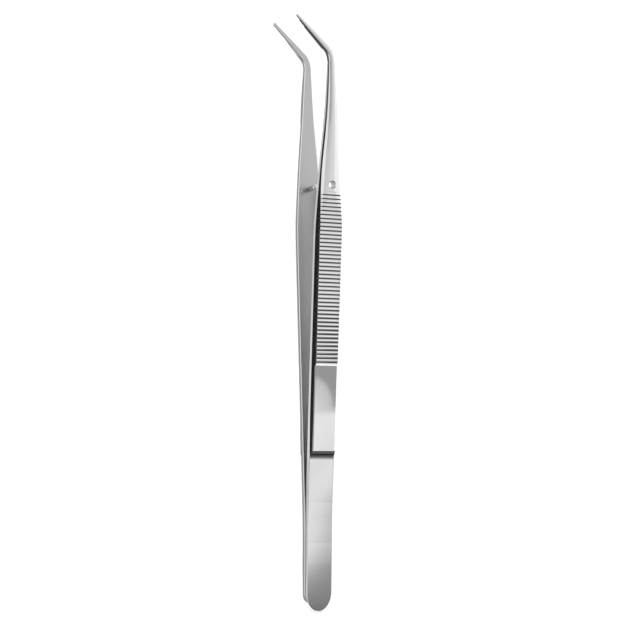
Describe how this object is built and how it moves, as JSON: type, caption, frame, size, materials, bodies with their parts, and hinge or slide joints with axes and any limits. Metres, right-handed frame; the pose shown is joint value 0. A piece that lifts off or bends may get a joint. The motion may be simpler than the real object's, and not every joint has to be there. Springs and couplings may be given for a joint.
{
  "type": "diagnostic tweezers",
  "caption": "Angled steel tweezers: two sprung arms joined at the heel, cross-ribbed grips, bent tapered tips, and a guide pin that enters a hole in the facing arm.",
  "frame": {"origin": "centre of the smooth panel on the rear arm's outer face", "axes": "+Y along the length, from the heel to the tips; +Z from the rear arm to the front arm; X across the width, the tips bend to -X"},
  "size_m": [0.0138, 0.1495, 0.0169],
  "materials": {
    "steel_arms": "polished outer faces and satin inner faces",
    "steel_pin": "bright, rounded end"
  },
  "bodies": {
    "root": {"front_arm": "steel_arms", "rear_arm": "steel_arms", "guide_pin": "steel_pin"}
  },
  "joints": []
}
